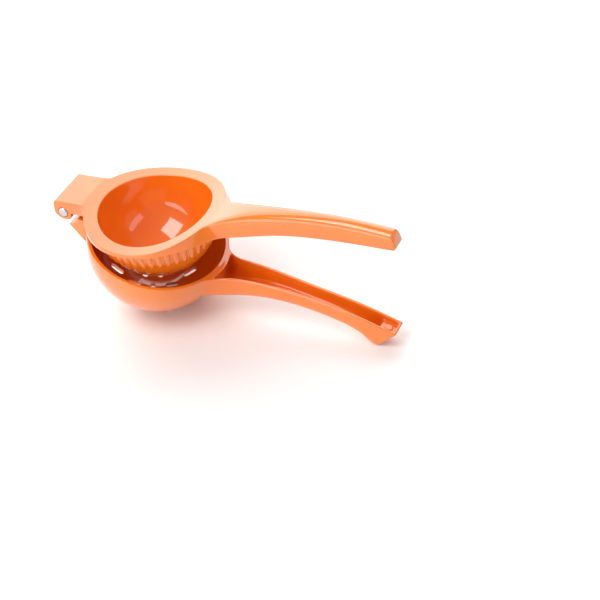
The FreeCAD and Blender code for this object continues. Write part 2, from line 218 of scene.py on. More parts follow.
# %% Read a smooth curve through key points
def through(keys, x):
    """A smooth curve through key points (x, value), read at x."""
    keys = sorted(keys)
    x = min(max(x, keys[0][0]), keys[-1][0])
    i = max(k for k in range(len(keys) - 1) if keys[k][0] <= x)
    (x0, v0), (x1, v1) = keys[i], keys[i + 1]

    def slope(k):
        low, high = max(k - 1, 0), min(k + 1, len(keys) - 1)
        return (keys[high][1] - keys[low][1]) / (keys[high][0] - keys[low][0])
    span = x1 - x0
    t = (x - x0) / span
    a, b = slope(i) * span, slope(i + 1) * span
    return (v0 * (2 * t ** 3 - 3 * t ** 2 + 1) + a * (t ** 3 - 2 * t ** 2 + t)
            + v1 * (3 * t ** 2 - 2 * t ** 3) + b * (t ** 3 - t ** 2))


# %% [markdown]
# ### Rise and skirt
# The rise grows with the square of the distance from the cup's middle, which is how a saddle
# curves. The skirt has no such rule: its line in plan is drawn through a few points by angle.

# %% The saddle as a function of place
FLANGE_RISE = 7.1
RISE_PER_SQUARE = FLANGE_RISE / BOWL_RADIUS ** 2
# Where the flange's lower edge runs in plan beside the handle, by its angle in degrees
SKIRT_X = [(0, 50.9), (7.5, 50.6), (15, 49.6), (22.5, 46.8), (30, 43.0), (37.5, 38.6), (45, 33.8),
           (52.5, 28.9)]
SKIRT_Y = [(0, 0), (7.5, 6.7), (15, 13.4), (22.5, 20.6), (30, 24.85), (37.5, 29.6), (45, 33.8),
           (52.5, 37.7)]
SKIRT_END = 52
# The lowest ring of the edge goes all the way out, and the ring above it a little less
LOWEST_RING = 0.3
RING_ABOVE = 0.85


def saddle(point):
    """Raise the flange's top, and swing its lower edge out beside the handle's root."""
    if point.z >= 1.0:
        point.z += RISE_PER_SQUARE * point.x ** 2
    elif point.z >= 0 and math.hypot(point.x, point.y) > BOWL_RADIUS - 1:
        angle = abs(math.degrees(math.atan2(point.y, point.x)))
        if angle < SKIRT_END:
            skirt = Vector((through(SKIRT_X, angle), math.copysign(through(SKIRT_Y, angle), point.y)))
            place = point.xy.lerp(skirt, 1 if point.z < LOWEST_RING else RING_ABOVE)
            point.x, point.y = place
    return point


print("the flange rises", FLANGE_RISE, "mm towards the hinge and the handle")

# %% [markdown]
# ### Picking by place
# By hand one clicks on faces. A script has no mouse, so it picks the faces whose middle and
# normal pass a test. The faces that the handle grows from are picked while the edge is still
# round, and they stay selected while the saddle is shaped.


# %% Pick faces and move vertices
def pick_faces(test):
    """Select the faces whose middle and normal pass a test."""
    bpy.ops.mesh.select_all(action="DESELECT")
    mesh = cage()
    mesh.normal_update()
    chosen = [f for f in mesh.faces if test(f.calc_center_median(), f.normal)]
    for face in chosen:
        face.select_set(True)
    bmesh.update_edit_mesh(bpy.context.edit_object.data)
    return len(chosen)


def reshape(place, only_selected=False):
    """Move vertices to where a function puts them."""
    for vertex in cage().verts:
        if vertex.select or not only_selected:
            vertex.co = place(vertex.co.copy())
    bmesh.update_edit_mesh(bpy.context.edit_object.data)


# %% [markdown]
# ### The root's faces
# The handle is three spokes wide to each side, where the flange's edge meets it on the real tool.
# The same test serves for the hinge block on the other side later on.

# %% Pick the handle's root and shape the saddle
# Half the width across which the root's faces lie
ROOT_HALF = 18
ROOT_ANGLES = [math.radians(a) for a in (22.5, 15, 7.5, 0, -7.5, -15, -22.5)]


def at_rim(side):
    """A test for the outer wall's faces within three spokes of the handle (1) or the hinge (-1)."""
    def test(middle, normal):
        return (math.hypot(middle.x, middle.y) > BOWL_RADIUS - 0.6 and abs(normal.z) < 0.5
                and side * middle.x > 0 and abs(middle.y) < ROOT_HALF)
    return test


print("root faces", pick_faces(at_rim(1)))
reshape(saddle)

# %% [markdown]
# ### Upper handle
# The real handle is a lever with a rounded crown, open underneath to save metal. It could be a
# profile swept along a curve, but its width, crown and lower edge all change along the way. So
# it is extruded from section to section. A section is a grid of seven columns across and four
# rows up, as many as the faces that were picked, and the first ones turn the ring's curve into
# the handle's straight walls.

# %% Curves of the upper handle, as (x, value) pairs
UPPER_WIDTHS = [(47.5, 14.9), (49.5, 13.6), (53.8, 11.9), (60.1, 11.0), (66.4, 10.2), (80.3, 8.9),
                (110.5, 7.1), (142.1, 6.4), (173.6, 6.2)]
UPPER_CROWN = [(47.5, 9.7), (53.8, 11.8), (60.1, 13.8), (66.4, 15.6), (80.3, 18.5), (110.5, 21.5),
               (142.1, 21.9), (173.6, 19.3)]
UPPER_EDGE = [(46.0, 0), (55.1, 0), (66.4, 0.7), (81.5, 3.7), (100.5, 6.7), (123.2, 8.0),
              (148.4, 8.5), (173.6, 8.3)]
# How far the rounding of the crown reaches in from the side, and down
CROWN_ROUND = [(47.5, 1.2), (54, 2.4), (66, 4.8), (80, 5.8), (173.6, 5.2)]
CROWN_DROP = [(47.5, 1.2), (54, 2.6), (60, 4.6), (66, 6.4), (80, 8.6), (173.6, 8.0)]
CORNER = 0.185
WALL = 1.9
# A row of faces this high keeps a lower edge crisp under subdivision
EDGE_LIP = 0.8
print("upper handle", UPPER_WIDTHS[-1][1] * 2, "mm wide at its end")


# %% [markdown]
# ### A section
# A section could be a flat slice, but near the ring it has to follow the ring's round wall. So a
# section may be bowed: its sides lie further back than its middle. At the end it leans, and
# shrinks a little in two steps, and that rounds the handle's end.


# %% One section of the upper handle
def columns(half, rim):
    """Seven places across: both edges, the insides of both walls, and between them."""
    inner = half - rim
    return [half, inner, inner / 2, 0, -inner / 2, -inner, -half]


def upper_section(x, bow=0.0, lower_half=None, lower_bow=0.0, slant=0.0, shrink=0.0):
    """One section: rows from the lower edge up to the crown, each with its seven columns."""
    half = through(UPPER_WIDTHS, x - bow) - shrink
    rounding, drop = through(CROWN_ROUND, x), through(CROWN_DROP, x)
    section = []
    for row in range(4):
        width = lower_half if lower_half and row < 2 else half
        back = lower_bow if row < 2 else bow
        for y in columns(width, rounding if row == 3 else WALL):
            share = abs(y) / width
            place = x - back * share ** 2
            crown, edge = through(UPPER_CROWN, place), through(UPPER_EDGE, place)
            height = (edge + shrink, edge + EDGE_LIP, crown - drop, crown - shrink)[row]
            if row == 3 and share == 1:
                y -= math.copysign(CORNER * rounding, y)
                height -= CORNER * drop
            up = (height - edge) / (crown - edge)
            section.append(Vector((place - slant * up, y, height)))
    return section


def ring_section(side, heights):
    """The section that the ring's own wall gives, before the first extrusion."""
    return [saddle(Vector((side * BOWL_RADIUS * math.cos(a), BOWL_RADIUS * math.sin(a), height)))
            for height in heights for a in ROOT_ANGLES]


print("a section has", len(upper_section(67)), "points")

# %% [markdown]
# ### From section to section
# Extrude leaves the new faces selected, lying on the old ones. Each new vertex is then moved to
# the point of the new section that answers to the nearest point of the old one.


# %% Extrude the upper handle
def extrude_to(place):
    """Extrude the selected faces, then move the new vertices."""
    bpy.ops.mesh.extrude_region_move()
    reshape(place, only_selected=True)


def extrude_along(sections):
    """Extrude the selected faces from the first section of a handle through all the others."""
    for old, new in zip(sections, sections[1:]):
        def nearest(point):
            index = min(range(len(old)), key=lambda i: (old[i] - point).length_squared)
            return new[index]
        extrude_to(nearest)
    print("extruded through", len(sections), "sections")


RING_ROWS = (0, 0.6, 1.2, FLANGE)
STATIONS = (67, 74, 82, 91, 101, 112, 124, 136)
sections = [ring_section(1, RING_ROWS),
            upper_section(50.4, bow=3.8, lower_half=17.2, lower_bow=0.6),
            upper_section(53.2, bow=3.4, lower_half=14.3, lower_bow=0.2),
            upper_section(56.6, bow=2.0, lower_half=12.6),
            upper_section(61.4, bow=0.8, lower_half=11.2)]
sections += [upper_section(x) for x in (*STATIONS, 148, 159)]
sections += [upper_section(167, slant=0.8), upper_section(171.6, slant=1.2),
             upper_section(173.6, slant=1.4, shrink=0.2), upper_section(174.2, slant=1.4, shrink=1.1)]
extrude_along(sections)

# %% [markdown]
# ### The channel underneath
# The hollow of the handle shows at the root, where its two walls meet the flange. A boolean could
# cut it, but the faces between the walls are there already, so they are picked and pushed up to
# just under the crown. They narrow on the way, as a casting must to leave its mould.

# %% Hollow the upper handle from below
CHANNEL_FROM, CHANNEL_TO = 50.6, 170.8
HIGHEST_EDGE = 12
ROOF = 2.6
ROOF_ROUND = 1.6
# The share of the width that is left where the roof's rounding starts, and at the roof
NARROW, NARROWEST = 0.97, 0.86


def under_handle(middle, normal):
    """The faces of the underside between the handle's walls."""
    inside = through(UPPER_WIDTHS, middle.x) - WALL
    return (normal.z < -0.5 and CHANNEL_FROM < middle.x < CHANNEL_TO
            and abs(middle.y) < inside and middle.z < HIGHEST_EDGE)


def to_roof(drop, narrow):
    """A mover to a depth under the roof of the channel."""
    return lambda p: Vector((p.x, p.y * narrow, through(UPPER_CROWN, p.x) - ROOF - drop))


print("channel faces", pick_faces(under_handle))
extrude_to(lambda p: Vector((p.x, p.y, p.z + EDGE_LIP)))
extrude_to(to_roof(ROOF_ROUND, NARROW))
extrude_to(to_roof(0, NARROWEST))

# %% [markdown]
# ### Hinge block
# Behind the flange the casting goes on as a square block, with a slot for the lower arm's tongue.
# A cube joined on would need a fillet to look cast. Extruding the flange's own wall gives that
# fillet for nothing, and the slot is only a higher underside in the three middle columns.

# %% Extrude the hinge block
EAR_FACE = 15.75
SLOT_EDGE = 7.85
BLOCK_COLUMNS = [EAR_FACE, 15.0, SLOT_EDGE, 0, -SLOT_EDGE, -15.0, -EAR_FACE]
BLOCK_TOP = FLANGE + FLANGE_RISE
BLOCK_ROUND = 1.6
UNDERSIDE = 0.5
SLOT_ROOF = 6.9
# Each station: x of the block's top, x of its sides, and the place of the ear's lower edge
EAR_STATIONS = [(-59.2, -58.3, -58.1, -2.4), (-61.4, -60.9, -60.2, -5.0), (-64.0, -63.9, -63.9, -5.8),
                (-66.6, -67.2, -67.8, -4.7), (-68.0, -70.0, -70.4, -2.0), (-68.6, -70.9, -71.0, -0.3)]


def block_section(x_top, x_low, bow=0.0, slot=False, root=0.0):
    """A section of the block; the slot's roof is higher than the underside beside it."""
    section = []
    for row in range(4):
        for y in BLOCK_COLUMNS:
            base = SLOT_ROOF if slot and abs(y) <= SLOT_EDGE else UNDERSIDE
            y += math.copysign(root, y) if abs(y) > SLOT_EDGE else 0
            height = (base, base + EDGE_LIP, BLOCK_TOP - BLOCK_ROUND, BLOCK_TOP)[row]
            x = (x_low, x_low, 0.75 * x_low + 0.25 * x_top, x_top)[row]
            section.append(Vector((x + bow * (y / EAR_FACE) ** 2, y, height)))
    return section


print("block faces", pick_faces(at_rim(-1)))
sections = [ring_section(-1, RING_ROWS), block_section(-49.3, -49.3, bow=2.6, root=0.5),
            block_section(-52.5, -52.5), block_section(-57.4, -57.2)]
sections += [block_section(top, low, slot=True) for top, low, _, _ in EAR_STATIONS]
extrude_along(sections)

# %% [markdown]
# ### Ears
# Two ears hang from the block, one at each side of the slot, and their ends are round about the
# pin. They could be discs joined on. Extruded down from the block's underside they stay part of
# the one cage, and each station of the block gets one point of the round end.


# %% Extrude the ears and smooth the whole casting
def under_ears(middle, normal):
    """The faces of the block's underside beside the slot."""
    return (normal.z < -0.3 and middle.x < EAR_STATIONS[0][1] and abs(middle.y) > SLOT_EDGE
            and middle.z < SLOT_ROOF - EDGE_LIP)


def round_ear(point):
    """The place on the ear's round end for a point of the block's underside."""
    station = min(EAR_STATIONS, key=lambda s: abs(s[1] - point.x))
    return Vector((station[2], point.y, station[3]))


def leave():
    """Close the piece that is open in edit mode."""
    bpy.ops.object.mode_set(mode="OBJECT")


def finish_with(piece, kind, **settings):
    """Add a modifier and apply it."""
    bpy.ops.object.select_all(action="DESELECT")
    piece.select_set(True)
    bpy.context.view_layer.objects.active = piece
    modifier = piece.modifiers.new(kind.title(), kind)
    for key, value in settings.items():
        setattr(modifier, key, value)
    bpy.ops.object.modifier_apply(modifier=modifier.name)


def subdivide(piece, levels=2):
    """Smooth a cage into its final skin."""
    finish_with(piece, "SUBSURF", levels=levels, render_levels=levels)


print("ear faces", pick_faces(under_ears))
extrude_to(round_ear)
leave()
subdivide(press)
print("press casting", len(press.data.polygons), "faces")

# %% [markdown]
# ### Seats of the pin's heads
# A shallow round seat is bored into the outside of each ear, a little wider than the head of
# the pin. It leaves the fine dark ring that shows round the head. Such a sharp edge would need
# many support loops in the cage, so it is cut after the subdivision, by a boolean.

# %% Bore the seats
SEAT_RADIUS = 3.85
SEAT_DEPTH = 0.8
SEAT_CUTTER = 2.0


def join(pieces):
    """Join pieces to one."""
    bpy.ops.object.select_all(action="DESELECT")
    for piece in pieces:
        piece.select_set(True)
    bpy.context.view_layer.objects.active = pieces[0]
    bpy.ops.object.join()
    return bpy.context.object


def cut_out(piece, tool):
    """Take a cutter out of a piece."""
    finish_with(piece, "BOOLEAN", operation="DIFFERENCE", solver="EXACT", object=tool)
    bpy.data.objects.remove(tool)


def smooth(piece, degrees=40):
    """Shade smooth, but keep edges that are sharper than an angle."""
    bpy.ops.object.select_all(action="DESELECT")
    piece.select_set(True)
    bpy.context.view_layer.objects.active = piece
    bpy.ops.object.shade_smooth_by_angle(angle=math.radians(degrees))


seats = []
for side in (-1, 1):
    bpy.ops.object.select_all(action="DESELECT")
    middle = (PIN.x, side * (EAR_FACE - SEAT_DEPTH + SEAT_CUTTER / 2), PIN.z)
    bpy.ops.mesh.primitive_cylinder_add(vertices=48, radius=SEAT_RADIUS, depth=SEAT_CUTTER,
                                        rotation=(math.pi / 2, 0, 0), location=middle)
    seats.append(bpy.context.object)
cut_out(press, join(seats))
smooth(press, 60)
print("seats bored", len(seats))

# %% [markdown]
# ## Ribs of the cup
# Round ribs run down the outside of the cup from the flange, so that what is pressed can't slip.
# They could be a bump in the paint, but they show in the outline under the flange, so they have
# to be shape. One rib is a ball whose upper half is drawn out to a rod and bent to the cup's
# curve.

# %% Model one rib
RIB_ARC = 20.0
RIB_RADIUS = 2.72
RIB_CREST = 42.3
RIB_PATH = RIB_CREST - RIB_RADIUS
RIB_STEPS = 4
# A rib's root stays inside the cup's wall, and its top inside the flange
ROOT_IN_WALL = CUP_INSIDE + 1.2
TOP_IN_FLANGE = 1.2
rib_length = math.radians(RIB_ARC) * RIB_PATH


def bend(point):
    """Bend an upright rod to the cup's curve, on the side that faces along X."""
    down = (rib_length - min(point.z, rib_length + TOP_IN_FLANGE)) / RIB_PATH
    out = max(RIB_PATH + point.x, ROOT_IN_WALL)
    return Vector((out * math.cos(down), point.y, -out * math.sin(down)))


bpy.ops.object.select_all(action="DESELECT")
bpy.ops.mesh.primitive_uv_sphere_add(segments=16, ring_count=10, radius=RIB_RADIUS)
rib = bpy.context.object
edit(rib)
pick_faces(lambda m, n: m.z > 0)
for _ in range(RIB_STEPS):
    bpy.ops.mesh.extrude_region_move(TRANSFORM_OT_translate={"value": (0, 0, rib_length / RIB_STEPS)})
reshape(bend)
leave()
print("a rib is", round(rib_length, 1), "mm long")

# %% [markdown]
# ### All round the cup
# The ribs stand evenly, so one is enough to model. An Array modifier about an empty could repeat
# it. Copies with a mesh of their own, each turned by its share of the circle, need no second
# object, and joined they are one piece to paint and to place.


# %% Copy the rib round the cup
def copies_round(piece, count):
    """Turned copies of a piece about the Z axis, the first of them half a step on."""
    copies = []
    for index in range(count):
        bpy.ops.object.select_all(action="DESELECT")
        piece.select_set(True)
        bpy.context.view_layer.objects.active = piece
        bpy.ops.object.duplicate(linked=False)
        copies.append(bpy.context.object)
        copies[-1].data.transform(Matrix.Rotation((index + 0.5) * 2 * math.pi / count, 4, "Z"))
    bpy.data.objects.remove(piece)
    return copies


RIBS = 44
cup_ribs = join(copies_round(rib, RIBS))
cup_ribs.name = cup_ribs.data.name = "cup_ribs"
smooth(cup_ribs, 60)
print("ribs", RIBS, "with", len(cup_ribs.data.polygons), "faces")

# %% [markdown]
# ## The strainer arm
# The second casting: a deep bowl with a flat rim, and a handle that is open on top. It is made
# like the press arm, because the same soft roots show on it. The bowl is spun, with a short
# upright band under its rim.

# %% Spin the bowl
BOWL_INSIDE = BOWL_RADIUS - 2.6
RIM = 1.2
bowl_middle = (0, -BOWL_BAND)
bowl_inside = cage_arc(BOWL_INSIDE, -90, 0, 16, bowl_middle)
bowl_outside = cage_arc(BOWL_RADIUS, 0, -90, 13, bowl_middle)
rim = [(BOWL_INSIDE, -RIM), (BOWL_INSIDE, 0), (BOWL_INSIDE + 0.8, 0), (BOWL_RADIUS - 0.8, 0),
       (BOWL_RADIUS, 0), (BOWL_RADIUS, -RIM)]
strainer_profile = (bowl_inside[:1] + near_pole(BOWL_INSIDE, BOWL_BAND) + bowl_inside[1:] + rim
                    + bowl_outside)
strainer = spun("strainer_casting", strainer_profile)

# %% [markdown]
# ### Lower handle
# It bends down from the rim and ends in a slanted foot, on which the tool rests. Like the upper
# one it is extruded by sections, here of five rows, because its root takes in a taller piece of
# the bowl's wall. Towards the end the sections lean, and that gives the slanted foot.

# %% Curves of the lower handle, as (x, value) pairs
LOWER_WIDTHS = [(46.6, 15.9), (49.5, 13.7), (53.8, 12.0), (60.1, 10.9), (66.4, 10.2), (80.3, 9.0),
                (110.5, 7.0), (142.1, 6.8), (173.6, 6.8)]
LOWER_RIM = [(45.0, 0), (48.5, 0.2), (53.8, 1.6), (60.1, 3.9), (66.4, 5.9), (80.3, 9.1), (110.5, 13.5),
             (142.1, 16.3), (173.6, 16.0)]
LOWER_KEEL = [(44.5, -17.4), (50.0, -16.4), (57.6, -14.0), (65, -10.2), (72.7, -6.6), (90.4, -0.7),
              (113.1, 2.9), (138.3, 4.6), (149.6, 3.2), (161.0, -1.7), (164.1, -0.7)]
KEEL_ROUND = 3.0
LAND_X = 164.1
print("lower handle", round(through(LOWER_WIDTHS, LAND_X) * 2, 1), "mm wide at its foot")


# %% [markdown]
# ### Its section
# It has one row more than the upper handle's, halfway up, because the wall is taller here. The
# keel is rounded like the other handle's crown, with the same share of a corner taken off.


# %% One section of the lower handle
def lower_section(x, bow=0.0, slant=0.0, shrink=0.0):
    """One section: rows from the keel up to the channel's rim, each with its seven columns."""
    half = through(LOWER_WIDTHS, x - bow) - shrink
    section = []
    for row in range(5):
        rim_width = KEEL_ROUND if row == 0 else WALL
        for y in columns(half, rim_width):
            share = abs(y) / half
            place = x - bow * share ** 2
            top = through(LOWER_RIM, place)
            keel = through(LOWER_KEEL, min(place - slant, LAND_X)) + shrink
            height = (keel, keel + KEEL_ROUND, (keel + KEEL_ROUND + top) / 2, top - RIM, top - shrink)[row]
            if row == 0 and share == 1:
                y -= math.copysign(CORNER * KEEL_ROUND, y)
                height += CORNER * KEEL_ROUND
            down = (top - height) / (top - keel)
            section.append(Vector((place - slant * down, y, height)))
    return section


print("a section has", len(lower_section(67)), "points")

# %% [markdown]
# ### Out of the bowl's wall
# The handle starts from the faces of the rim and of the upper part of the ball below it. A
# handle that is only pushed into the bowl would need a fillet all round its root, and here the
# subdivision draws it.

# %% Extrude the lower handle
bowl_rows = [bowl_outside[2], bowl_outside[1], bowl_outside[0], (BOWL_RADIUS, -RIM), (BOWL_RADIUS, 0)]
FOOT_STATIONS = ((144, 0.8), (152, 2.6), (158, 4.6), (161.8, 6.2), (163.4, 6.8), (169.6, 8.8),
                 (172.2, 9.4))


def bowl_wall(middle, normal):
    """The faces of the rim's outside and of the ball just below it, towards the handle."""
    radius = math.hypot(middle.x, middle.y)
    return (middle.x > 0 and abs(middle.y) < ROOT_HALF and radius > BOWL_RADIUS - 2 and normal.x > 0.5
            and middle.z > bowl_outside[2][1])


print("root faces", pick_faces(bowl_wall))
sections = [[Vector((r * math.cos(a), r * math.sin(a), z)) for r, z in bowl_rows for a in ROOT_ANGLES],
            lower_section(50.4, bow=3.8), lower_section(53.4, bow=3.0),
            lower_section(57.2, bow=1.6), lower_section(61.6, bow=0.6)]
sections += [lower_section(x) for x in STATIONS]
sections += [lower_section(x, slant=slant) for x, slant in FOOT_STATIONS]
sections += [lower_section(173.9, slant=9.5, shrink=0.1), lower_section(174.3, slant=9.5, shrink=0.6)]
extrude_along(sections)

# %% [markdown]
# ### The channel on top
# The handle is a trough: deep along most of its length, and shallow at the end, where a flat pad
# closes it. The faces between the walls are pushed down to the pad's depth first. Then those that
# don't belong to the pad are picked again and go on to the floor. Two booleans would do the
# same, but the rim would lose its even rounding.

# %% Hollow the lower handle from above
PAD_FROM, PAD_TO = 162.3, 171.8
PAD_DEPTH = 3.5
CHANNEL_START, CHANNEL_BOW = 50.4, 3.8
CHANNEL_FLOOR = 2.2
CHANNEL_FLOOR_END = 160.0


def inside_walls(middle, normal):
    """The faces of the handle's top between its walls, up to the pad's far end."""
    half = through(LOWER_WIDTHS, middle.x) - WALL
    beyond = middle.x > CHANNEL_START - CHANNEL_BOW * (middle.y / 14.9) ** 2
    return normal.z > 0.4 and beyond and middle.x < PAD_TO and abs(middle.y) < half and middle.x > 0


def to_depth(depth, narrow=1.0):
    """A mover to a depth under the channel's rim."""
    return lambda p: Vector((p.x, p.y * narrow, through(LOWER_RIM, p.x) - depth))


def to_floor(lift, narrow):
    """A mover to a height over the channel's floor."""
    def mover(p):
        keel = through(LOWER_KEEL, min(p.x, CHANNEL_FLOOR_END))
        return Vector((p.x, p.y * narrow, keel + CHANNEL_FLOOR + lift))
    return mover


print("channel faces", pick_faces(inside_walls))
extrude_to(to_depth(0.9))
extrude_to(to_depth(PAD_DEPTH - 0.5))
extrude_to(to_depth(PAD_DEPTH, 0.97))
print("floor faces", pick_faces(lambda m, n: inside_walls(m, n) and m.x < PAD_FROM))
extrude_to(to_depth(PAD_DEPTH + 0.8))
extrude_to(to_floor(1.6, 0.95))
extrude_to(to_floor(0, 0.84))
leave()
subdivide(strainer)
print("strainer casting", len(strainer.data.polygons), "faces")

# %% [markdown]
# ### Drain slots
# The bowl drains through a hole in the middle and two rings of radial slots. They could be a dark
# pattern in the paint, but the table shows through the real ones. A cylinder is pulled apart into
# a slot-shaped cutter and copied round, and all of them are taken out in one cut, which is
# quicker than one cut for each.

# %% Cut the drain slots
SLOT_WIDTH, SLOT_LENGTH = 4.0, 9.0
# Each ring: its radius and how many slots it has
SLOT_RINGS = ((13.0, 6), (26.0, 12))


def cutter(radius, straight):
    """A cylinder pulled apart along a radius of the bowl."""
    bpy.ops.object.select_all(action="DESELECT")
    bpy.ops.mesh.primitive_cylinder_add(vertices=24, radius=SLOT_WIDTH / 2, depth=BOWL_RADIUS,
                                        location=(radius - straight / 2, 0, -BOWL_RADIUS - BOWL_BAND))
    tool = bpy.context.object
    bpy.ops.object.transform_apply(location=True)
    edit(tool)
    middle = radius - straight / 2 + NEAR

    def stretch(point):
        if point.x > middle:
            point.x += straight
        return point
    reshape(stretch)
    leave()
    return tool


cutters = [cutter(0, 0)]
for radius, count in SLOT_RINGS:
    cutters += copies_round(cutter(radius, SLOT_LENGTH - SLOT_WIDTH), count)
print("holes", len(cutters))
cut_out(strainer, join(cutters))
smooth(strainer, 50)
lowest = min((LAY @ vertex.co).z for vertex in strainer.data.vertices)
print("lowest point of the bowl and the handle", round(lowest, 5))

# %% [markdown]
# ### Shoulder
# Under the rim, behind the bowl, a solid wedge carries the hinge. Its upper side has a round
# hollow that the block's corner swings through when the arm is thrown back. It has flat cheeks
# and crisp edges, so it isn't part of the cage: its side view is drawn, filled and extruded to a
# prism, and the edges are bevelled. What would stand inside the bowl is cut away.


# %% Fill a side view and extrude it
RELIEF = 10.35


def prism(name, outline, half_width):
    """Fill an outline of (x, z) pairs and extrude it to both sides of the middle plane."""
    piece = draw(name, [(x, -half_width, z) for x, z in outline])
    bpy.ops.mesh.edge_face_add()
    bpy.ops.mesh.extrude_region_move(TRANSFORM_OT_translate={"value": (0, 2 * half_width, 0)})
    bpy.ops.mesh.select_all(action="SELECT")
    bpy.ops.mesh.normals_make_consistent(inside=False)
    leave()
    return piece


def soften(piece, width, segments=3, degrees=30):
    """Bevel the edges that are sharper than an angle."""
    finish_with(piece, "BEVEL", width=width, segments=segments, limit_method="ANGLE",
                angle_limit=math.radians(degrees))


relief = arc(RELIEF, -9, -65, 10, (PIN.x, PIN.z))
print("the hollow starts at", [round(v, 2) for v in relief[0]],
      "and ends at", [round(v, 2) for v in relief[-1]])

# %% [markdown]
# ### Cut to the bowl
# The wedge has to end inside the bowl's wall, neither in front of it nor behind. Its outline could
# follow the wall, but only in one plane. A ball and a short cylinder with the wall's own middle
# radius are taken out instead, one after the other, because an overlap of two cutters in one
# mesh can upset a boolean.

# %% Model the shoulder
SHOULDER_HALF = 14.8
IN_WALL = 46.0
BAND_CUTTER = 20
shoulder = prism("hinge_shoulder", [(-42, -0.3)] + relief + [(-44.0, -20.3), (-41, -21)], SHOULDER_HALF)
soften(shoulder, 0.3)
bpy.ops.object.select_all(action="DESELECT")
bpy.ops.mesh.primitive_uv_sphere_add(segments=96, ring_count=48, radius=IN_WALL,
                                     location=(0, 0, -BOWL_BAND))
cut_out(shoulder, bpy.context.object)
bpy.ops.object.select_all(action="DESELECT")
bpy.ops.mesh.primitive_cylinder_add(vertices=96, radius=IN_WALL, depth=BAND_CUTTER,
                                    location=(0, 0, BAND_CUTTER / 2 - BOWL_BAND))
cut_out(shoulder, bpy.context.object)
smooth(shoulder, 35)
print("shoulder", len(shoulder.data.polygons), "faces")

# %% [markdown]
# ### Tongue and boss
# The tongue is the round knuckle that stands between the ears and turns on the pin. It is a
# prism too, with an arc about the pin. The boss is the small round button on the end pad. It
# could be an untouched cylinder, but the paint rounds its edge, so it is spun from a profile.

# %% Model the tongue and the boss
TONGUE_HALF = 7.5
TONGUE_ROUND = 5.2
BOSS_X = 167.2
BOSS_SINK = 0.45
knuckle = arc(TONGUE_ROUND, 20, 270, 19, (PIN.x, PIN.z))
tongue = prism("hinge_tongue", [(-50, -0.3), (-58.8, -0.3)] + knuckle + [(-50, -4.1)], TONGUE_HALF)
soften(tongue, 0.5)
smooth(tongue, 35)
boss = spun("pad_boss", [(0, 1.2), (1.2, 1.2), (2.1, 1.2), (2.5, 1.15), (2.7, 0.8), (2.75, -1.5)], 24)
leave()
boss_height = through(LOWER_RIM, BOSS_X) - PAD_DEPTH - BOSS_SINK
boss.data.transform(Matrix.Translation((BOSS_X, 0, boss_height)))
subdivide(boss, 1)
smooth(boss, 60)
print("tongue", len(tongue.data.polygons), "faces, boss", len(boss.data.polygons), "faces")

# %% [markdown]
# ## The pin
# A plain steel rod through both ears and the tongue. Its ends are hammered over to low domes,
# and each head stands in its seat with a fine gap round it. A cylinder with a bevel would give a
# flat head with a round edge. The hammered dome needs a profile, so the whole pin is spun.

# %% Spin the pin
ROD = 3.0
HEAD = 3.5
dome = [(0, 0.95), (1.2, 0.92), (2.3, 0.80), (3.1, 0.50), (HEAD, 0.05), (HEAD, -0.4), (3.45, -1.2),
        (ROD, -1.3)]
half_pin = [(r, EAR_FACE + z) for r, z in dome]
other_half = [(r, -z) for r, z in reversed(half_pin)]
pin = spun("steel_pin", half_pin + [(ROD, 5.0), (ROD, -5.0)] + other_half, 32)
leave()
pin.data.transform(Matrix.Translation(PIN) @ Matrix.Rotation(math.radians(90), 4, "X"))
subdivide(pin, 1)
smooth(pin, 50)
print("pin", len(pin.data.polygons), "faces, seat gap", round(SEAT_RADIUS - HEAD, 2), "mm")

# %% [markdown]
# ## Finishes
# Both finishes are built from noise on Object coordinates, because those stay with the metal
# when an arm swings. An image would need a flat layout of each casting, and stretch on it.


# %% Start a material, and a noise for it
def new_material(name, color, roughness, metallic=0.0):
    """A material with one shader, and its constants set on the sockets."""
    material = bpy.data.materials.new(name)
    material.use_nodes = True
    shader = material.node_tree.nodes["Principled BSDF"]
    shader.inputs["Base Color"].default_value = (*color, 1)
    shader.inputs["Roughness"].default_value = roughness
    shader.inputs["Metallic"].default_value = metallic
    return material, material.node_tree, shader


def noise(tree, scale, detail=2.0, stretch=(1, 1, 1)):
    """A noise texture on Object coordinates."""
    place = tree.nodes.new("ShaderNodeTexCoord")
    mapping = tree.nodes.new("ShaderNodeMapping")
    mapping.inputs["Scale"].default_value = stretch
    texture = tree.nodes.new("ShaderNodeTexNoise")
    texture.inputs["Scale"].default_value = scale
    texture.inputs["Detail"].default_value = detail
    tree.links.new(place.outputs["Object"], mapping.inputs["Vector"])
    tree.links.new(mapping.outputs["Vector"], texture.inputs["Vector"])
    return texture.outputs["Fac"]


# %% [markdown]
# ### What a noise does
# One noise can change three things: the color, how sharply the surface mirrors, and which way it
# seems to face. A ramp turns the noise into a color or a gray value between two limits, and a
# bump turns it into a waviness without any new faces.


# %% Turn a noise into a color, a roughness or a bump
def ramp(tree, value, low, high, low_color, high_color):
    """A color that runs from one limit of a noise to the other."""
    node = tree.nodes.new("ShaderNodeValToRGB")
    node.color_ramp.elements[0].position = low
    node.color_ramp.elements[1].position = high
    node.color_ramp.elements[0].color = (*low_color, 1)
    node.color_ramp.elements[1].color = (*high_color, 1)
    tree.links.new(value, node.inputs["Fac"])
    return node.outputs["Color"]


def gray(value):
    """A gray that a roughness can be read from."""
    return (value, value, value)


def bump(tree, shader, value, strength, distance, socket="Normal"):
    """Let a noise tilt the surface, or only the clear skin over it."""
    node = tree.nodes.new("ShaderNodeBump")
    node.inputs["Strength"].default_value = strength
    node.inputs["Distance"].default_value = distance
    tree.links.new(value, node.inputs["Height"])
    tree.links.new(node.outputs["Normal"], shader.inputs[socket])


